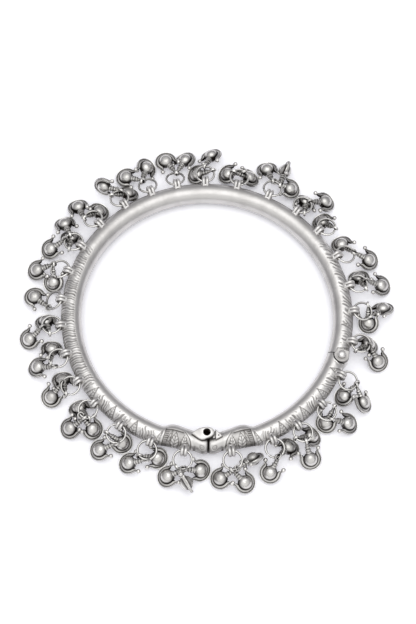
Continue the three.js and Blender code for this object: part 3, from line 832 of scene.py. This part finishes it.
def head_cut(along, phi):
    """The cut on a head: marks on the lobe, a curved border, then a panel of leaves and a ladder."""
    if not -50 < phi < 116:
        return 0.0
    if along < LOBE_LENGTH:
        around = math.hypot(along - 1.75, radians(phi - 52) * 2.7)
        lobe = 0.8 * groove(along - 3.9, 0.5) * smooth_step((60 - phi) / 50)
        return max(lobe, 0.7 * groove(around - 0.62, 0.2), 0.6 * groove(around - 0.1, 0.22))
    border = along - 5.0 - 1.9 * (max(0.0, phi - 40) / 68) ** 2.2
    depth = max(groove(border, 0.22), 0.7 * groove(border - 0.6, 0.17))
    if border > 0.8 and along < 13.0:
        up = radians(phi - 106) * HEAD_HALF
        depth = max(depth, groove(up, 0.22))
        if phi < 104:
            leaves = (leaf(along - 9.6, phi, 8, 98, 1.6), leaf(along - 6.9, phi, 14, 99, 1.15),
                      leaf(along - 11.3 + (phi - 60) * 0.012, phi, 40, 101, 0.5))
            ground = 0.6 if max(map(abs, leaves)) == 0 else max(leaves, key=abs)
            depth = max(depth, ground) if depth > 0 else ground
        if 11.7 < along < 12.7 and phi < 96:
            rung = (phi + 4) / RUNG_PITCH_DEG
            depth = max(depth, groove((rung - round(rung)) * RUNG_PITCH_DEG, 3.4))
    return max(depth, groove(along - 12.95, 0.22), groove(along - 14.35, 0.25))


# %% Shaping the tube's points
HEAD_CHASED_TO = HEAD_LENGTH - 0.9
PLAIN_MIDDLE, PLAIN_SPAN = (PLAIN_FROM + PLAIN_TO) / 2, PLAIN_TO - PLAIN_FROM


def tarnish_and_shade_at(along, angle, phi, cut):
    """How dark the silver is: sulphide in the chasing, painted shade low on the outer side, the snouts and
    the clasp's seam.
    """
    chased = smooth_step((BAND_INNER_DEG + 6 - phi) / 14)
    if PLAIN_FROM < angle < PLAIN_TO or phi < BAND_OUTER_DEG:
        chased = 0.0
    # Painted shade: the outer side of the tube low down is painted darker, less so on the chased band
    under = smooth_step((58 - phi) / 60) if -150 < phi < 60 else 0.0
    in_cuts = 0.9 * cut if along < HEAD_CHASED_TO else 0.6
    snout = 0.17 * smooth_step(5.0 - along)
    tarnish_and_shade_here = 0.19 - 0.17 * chased + snout + in_cuts * max(0.0, cut) + (0.7 - 0.56 * chased) * under
    return min(1.0, tarnish_and_shade_here + smooth_step((0.4 - along) / 0.35))


def shape_tube(tube, low, high):
    """Gives the tube its heads and its chasing. Low and high are its plan angles; high is not used."""
    millimetres_a_degree = radians(1) * RING_RADIUS
    darkness = []
    for point in tube.data.vertices:
        flat = point.co - RING_MIDDLE
        angle = math.degrees(math.atan2(flat.y, flat.x))
        angle += 360 if angle < low - 1 else 0
        out = flat.xy.length / MM - RING_RADIUS
        phi = math.atan2(flat.z / MM - TUBE_RADIUS, out)
        along = max(0.0, abs(angle - SEAM_DEG) * millimetres_a_degree - SEAM_GAP)
        phi_deg = math.degrees(phi)
        middle, width, height = RING_RADIUS, TUBE_RADIUS, TUBE_RADIUS
        if along < HEAD_LENGTH + 0.6:
            middle, width, height = head_section(along)
        if along < HEAD_CHASED_TO:
            cut = head_cut(along, phi_deg)
        elif PLAIN_FROM < angle < PLAIN_TO or phi_deg > BAND_INNER_DEG + 4 or phi_deg < BAND_OUTER_DEG:
            cut = 0.0
        else:
            edge = smooth_step(abs(angle - PLAIN_MIDDLE) / 4 - PLAIN_SPAN / 8)
            cut = band_cut(angle % 360, along, phi_deg) * edge
        depth = CUT_DEPTH * cut
        radius = middle + (width - depth) * cos(phi)
        point.co = plan(angle, radius, 0, height + (height - depth) * sin(phi))
        darkness.append(tarnish_and_shade_at(along, angle, phi_deg, cut))
    layer = tube.data.attributes.new("patina_and_shade", "FLOAT", "POINT")
    layer.data.foreach_set("value", darkness)
    open_mesh(tube)
    close_holes()


shape_tube(hoop_tube, HINGE_DEG, SEAM_DEG)
shape_tube(gate_tube, SEAM_DEG, HINGE_DEG + 360)
print("deepest cut, mm:", CUT_DEPTH)

# %% [markdown]
# The hinge is three knuckles on one rivet: the hoop has the lowest and the flat plate on top, and
# the gate's leaf lies between them. Each tube is cut back round the others' knuckles so that the gate
# can turn. A maker files these clearances, and a boolean with a plain drum does the same.

# %% Cutting with a drum
KNUCKLE_RADIUS = 2.3
HINGE_GAP = 0.3
LEAF_LOW, LEAF_HIGH = 2.1, 4.1
PLATE_TOP = 6.25
CUT_LOW, CUT_TOP = -1.0, 8.0
KNUCKLE_EDGE = 0.15


def drum(place, radius, low, high, sides=28):
    """An upright round, for cutting or as a start."""
    bpy.ops.mesh.primitive_cylinder_add(vertices=sides, radius=radius * MM, depth=(high - low) * MM,
                                        location=Vector((place.x, place.y, (low + high) / 2 * MM)))
    made = bpy.context.object
    settle(made)
    return made


def cut_away(piece, cutter):
    apply_modifier(piece, "BOOLEAN", operation="DIFFERENCE", solver="EXACT", object=cutter)
    bpy.data.objects.remove(cutter)


def round_edges(piece, width_mm, wanted=lambda p: True):
    """Bevels the sharp edges, so that they catch light as worn edges do."""
    open_mesh(piece)
    pick(piece, "EDGE", wanted)
    bpy.ops.mesh.bevel(offset=width_mm * MM, segments=3, affect="EDGES", clamp_overlap=True)
    close_mesh()


clear_radius = KNUCKLE_RADIUS + HINGE_GAP
cut_away(hoop_tube, drum(HINGE_PLACE, clear_radius, LEAF_LOW - HINGE_GAP, LEAF_HIGH + HINGE_GAP))
cut_away(gate_tube, drum(HINGE_PLACE, clear_radius, LEAF_HIGH, CUT_TOP))
cut_away(gate_tube, drum(HINGE_PLACE, clear_radius, CUT_LOW, LEAF_LOW))
print("faces after cutting:", len(hoop_tube.data.polygons), len(gate_tube.data.polygons))


# %% The knuckles, the plate and the rivet
PLATE_HALF = 1.85
PIN_RADIUS, RIVET_HEAD_RADIUS = 0.75, 1.22
# The rivet's pulls upwards: step in height and change of size
RIVET_STEPS = [(6.12, 1.0), (0, RIVET_HEAD_RADIUS / PIN_RADIUS), (0.28, 1.0), (0.25, 0.87),
               (0.19, 0.72), (0.1, 0.45)]
RIVET_FOOT = 0.15

low_knuckle = drum(HINGE_PLACE, KNUCKLE_RADIUS, 0, LEAF_LOW - HINGE_GAP)
round_edges(low_knuckle, KNUCKLE_EDGE, lambda p: p.z > LEAF_LOW - HINGE_GAP - 0.01 or p.z < 0.01)
leaf_knuckle = drum(HINGE_PLACE, KNUCKLE_RADIUS, LEAF_LOW, LEAF_HIGH)
round_edges(leaf_knuckle, KNUCKLE_EDGE, lambda p: p.z > LEAF_HIGH - 0.01 or p.z < LEAF_LOW + 0.01)

plate_edge = [(PLATE_HALF, PLATE_HALF), (-PLATE_HALF, PLATE_HALF)]
plate_edge += [(KNUCKLE_RADIUS * cos(radians(turn)), KNUCKLE_RADIUS * sin(radians(turn)))
               for turn in range(190, 351, 16)]
bpy.ops.mesh.primitive_circle_add(vertices=len(plate_edge), radius=MM, fill_type="NGON")
plate = bpy.context.object
for point, (out, past) in zip(plate.data.vertices, plate_edge):
    point.co = plan(HINGE_DEG, HINGE_RADIUS + out, past, LEAF_HIGH + HINGE_GAP)
open_mesh(plate)
bpy.ops.mesh.select_all(action="SELECT")
bpy.ops.mesh.extrude_region_move(
    TRANSFORM_OT_translate={"value": (0, 0, (PLATE_TOP - LEAF_HIGH - HINGE_GAP) * MM)})
face_outwards()
round_edges(plate, 0.22, lambda p: p.z > PLATE_TOP - 0.01)
open_mesh(plate)
pick(plate, "FACE", lambda p: p.z > PLATE_TOP - 0.01)
bpy.ops.mesh.inset(thickness=0.3 * MM, depth=-0.1 * MM)
close_mesh()
# The plate's walls and bevel below its top are painted dark: painted shade and a painted reflection of the
# dark horizon
paint_tarnish_and_shade(plate, lambda p: 0.36 + 0.6 * smooth_step((PLATE_TOP - 0.12 - p.z) / 0.2))

bpy.ops.mesh.primitive_circle_add(vertices=24, radius=PIN_RADIUS * MM, fill_type="NGON",
                                  location=HINGE_PLACE + Vector((0, 0, RIVET_FOOT * MM)))
rivet = bpy.context.object
settle(rivet)
open_mesh(rivet)
bpy.ops.mesh.select_all(action="SELECT")
rise(RIVET_STEPS)
face_outwards()
rivet.name = "rivet"
rivet.data.materials.append(hoop_silver)
soften(rivet, 50)
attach(rivet, "hoop")
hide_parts("hinge_rivet")
print("rivet's top, mm:", round(max(v.co.z for v in rivet.data.vertices) / MM, 2))

# %% [markdown]
# The clasp is flat work. The hoop's head carries a tongue with the screw's hole, pointed at its tail,
# and the gate's head carries the lug under it and a small boss beside it. Each starts as a disc of
# points that are slid to the plate's outline, pulled up to its thickness and bevelled.

# %% The clasp's plates
SCREW_RADIUS_AT, SCREW_ALONG = 38.2, -0.45
BOSS_DOT_AT, BOSS_DOT_ALONG, BOSS_DOT_RADIUS = 39.05, 3.0, 0.24
TONGUE_LOW, TONGUE_TOP = 5.4, 6.7
SCREW_HOLE = 1.15
SCREW_DEPTH_AT = 2.2
LUG_RADIUS, LUG_LOW, LUG_TOP = 1.7, 1.5, 5.1
SCREW_PLACE = plan(SEAM_DEG, SCREW_RADIUS_AT, SCREW_ALONG)
# Outlines in plan: distance from the ring's middle and past the seam
TONGUE_OUTLINE = [(38.6, -4.9), (37.8, -4.0), (37.1, -3.0), (36.7, -1.8), (36.5, -0.3), (36.8, 0.9),
                  (37.3, 1.5), (38.1, 1.8), (38.9, 1.6), (39.5, 0.9), (40.0, -0.3), (40.4, -1.2),
                  (40.5, -2.0), (40.2, -2.8), (39.4, -3.8)]
NECK_OUTLINE = [(37.6, -4.0), (39.6, -4.0), (40.0, -1.4), (37.2, -1.4)]
ARM_OUTLINE = [(37.0, 1.2), (39.9, 1.2), (40.6, 4.6), (38.0, 4.6)]
BOSS_OUTLINE = [(37.1, 2.05), (38.1, 3.1), (39.3, 4.2), (39.9, 3.1), (40.4, 2.1)]


def plate_of(outline, low, high, edge_mm):
    """A plate of this plan outline, given as distance from the ring's middle and past the seam."""
    bpy.ops.mesh.primitive_circle_add(vertices=len(outline), radius=MM, fill_type="NGON")
    made = bpy.context.object
    for point, (out, past) in zip(made.data.vertices, outline):
        point.co = plan(SEAM_DEG, out, past, low)
    open_mesh(made)
    bpy.ops.mesh.select_all(action="SELECT")
    bpy.ops.mesh.extrude_region_move(TRANSFORM_OT_translate={"value": (0, 0, (high - low) * MM)})
    face_outwards()
    round_edges(made, edge_mm, lambda p: p.z > high - 0.01)
    # The walls and bevel below the top are painted dark: painted shade and a painted reflection of the
    # dark horizon, over a little tarnish everywhere
    paint_tarnish_and_shade(made, lambda p: 0.2 + 0.75 * smooth_step((high - 0.5 * edge_mm - p.z) / (0.3 + edge_mm)))
    return made


tongue = plate_of(TONGUE_OUTLINE, TONGUE_LOW, TONGUE_TOP, 0.25)
cut_away(tongue, drum(SCREW_PLACE, SCREW_HOLE, CUT_LOW, CUT_TOP, 32))
neck_plate = plate_of(NECK_OUTLINE, 3.0, TONGUE_LOW + 0.02, 0.1)
lug = drum(SCREW_PLACE, LUG_RADIUS, LUG_LOW, LUG_TOP, 32)
cut_away(lug, drum(SCREW_PLACE, SCREW_HOLE - 0.1, SCREW_DEPTH_AT, CUT_TOP, 32))
# The whole lug is painted dark: the painted shadow under the tongue
paint_tarnish_and_shade(lug, lambda p: 1.0)
arm = plate_of(ARM_OUTLINE, LUG_LOW, LUG_TOP, 0.2)
boss = plate_of(BOSS_OUTLINE, 3.4, 6.4, 0.22)
cut_away(boss, drum(plan(SEAM_DEG, BOSS_DOT_AT, BOSS_DOT_ALONG), BOSS_DOT_RADIUS, 6.0, CUT_TOP, 10))
print("tongue's faces:", len(tongue.data.polygons))

# %% [markdown]
# Every cluster hangs from a staple: two bands of half-round wire bent side by side into an eye, with
# its legs soldered to a small foot. One band is a disc of points pulled along a leg, spun half round
# the eye and pulled back, and the second is its copy.

# %% The staples
BAND_MIDDLE = 1.28
BAND_HALF_WIDTH = 0.52
BAND_RADIUS = 0.52
LEG = 1.5
FOOT_AT = -0.95
FOOT_RADIUS, FOOT_DEPTH, FOOT_SQUASH = 1.75, 0.5, 0.86
BAND_FLAT_BELOW = BAND_MIDDLE - 0.1


def model_band(offset):
    """One band of the eye, flat on its inner side, this far from the staple's middle."""
    bpy.ops.mesh.primitive_circle_add(vertices=12, radius=BAND_RADIUS * MM, fill_type="NGON",
                                      location=(-LEG * MM, offset * MM, BAND_MIDDLE * MM),
                                      rotation=(0, radians(90), 0))
    band = bpy.context.object
    settle(band)
    open_mesh(band)
    pick(band, "VERT", lambda p: p.z < BAND_FLAT_BELOW)
    bpy.ops.transform.resize(value=(1, 1, 0.25), center_override=(0, 0, BAND_FLAT_BELOW * MM))
    bpy.ops.mesh.select_all(action="SELECT")
    bpy.ops.transform.resize(value=(1, 1, 0.75), center_override=(0, 0, BAND_MIDDLE * MM))
    bpy.ops.mesh.select_mode(type="FACE")
    bpy.ops.mesh.select_all(action="SELECT")
    bpy.ops.mesh.extrude_region_move(TRANSFORM_OT_translate={"value": (LEG * MM, 0, 0)})
    bpy.ops.mesh.spin(steps=14, angle=-math.pi, center=(0, 0, 0), axis=(0, 1, 0))
    bpy.ops.mesh.extrude_region_move(TRANSFORM_OT_translate={"value": (-LEG * MM, 0, 0)})
    bpy.ops.mesh.select_all(action="SELECT")
    bpy.ops.mesh.remove_doubles(threshold=1e-6)
    bpy.ops.mesh.normals_make_consistent(inside=False)
    close_mesh()
    return band


def model_foot():
    bpy.ops.mesh.primitive_cylinder_add(vertices=20, radius=FOOT_RADIUS * MM, depth=FOOT_DEPTH * MM,
                                        location=(FOOT_AT * MM, 0, 0), rotation=(0, radians(90), 0))
    foot = bpy.context.object
    foot.scale = (1.0, FOOT_SQUASH, 1.0)
    settle(foot)
    round_edges(foot, 0.18, lambda p: p.x > FOOT_AT + 0.24)
    return foot


staple_parts = [model_band(BAND_HALF_WIDTH), model_band(-BAND_HALF_WIDTH), model_foot()]
staple_pattern = join("staple_pattern", staple_parts)
staple_pattern.data.transform(Matrix.Translation((STAPLE_RADIUS_AT * MM, 0, STAPLE_HEIGHT * MM))
                              @ Matrix.Rotation(-STAPLE_RISE, 4, "Y"))
soften(staple_pattern, 45)


def staples(name, turns, body):
    """One piece with a staple at each of these plan angles."""
    piece = join(name, [copy_of(staple_pattern, plan_turn(at)) for at in turns])
    piece.data.materials.append(hoop_silver)
    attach(piece, body)
    return piece


gate_turns = [row[0] for row in CLUSTERS if GATE_TURNS[0] < row[0] < GATE_TURNS[1]]
hoop_turns = [row[0] for row in CLUSTERS if row[0] not in gate_turns]
hoop_staples = staples("hoop_staples", hoop_turns, "hoop")
gate_staples = staples("gate_staples", gate_turns, "gate")
bpy.data.objects.remove(staple_pattern)
print("staples:", len(hoop_turns), "on the hoop and", len(gate_turns), "on the gate")

# %% [markdown]
# What the maker solders together is one piece here too: each tube is joined with its own plates and
# knuckles, and stands for the hoop and the gate of the frame.

# %% The hoop and the gate
for tube in (hoop_tube, gate_tube):
    soften(tube, 60)
for flat in (plate, low_knuckle, leaf_knuckle, tongue, neck_plate, lug, arm, boss):
    soften(flat, 35)
chased_hoop = join("chased_hoop", [hoop_tube, plate, low_knuckle, tongue, neck_plate])
chased_gate = join("chased_gate", [gate_tube, leaf_knuckle, lug, arm, boss])
for piece, body, node in ((chased_hoop, "hoop", "main_hoop"), (chased_gate, "gate", "gate")):
    piece.data.materials.clear()
    piece.data.materials.append(hoop_silver)
    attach(piece, body)
    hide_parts(node)
    print(piece.name, "faces:", len(piece.data.polygons))
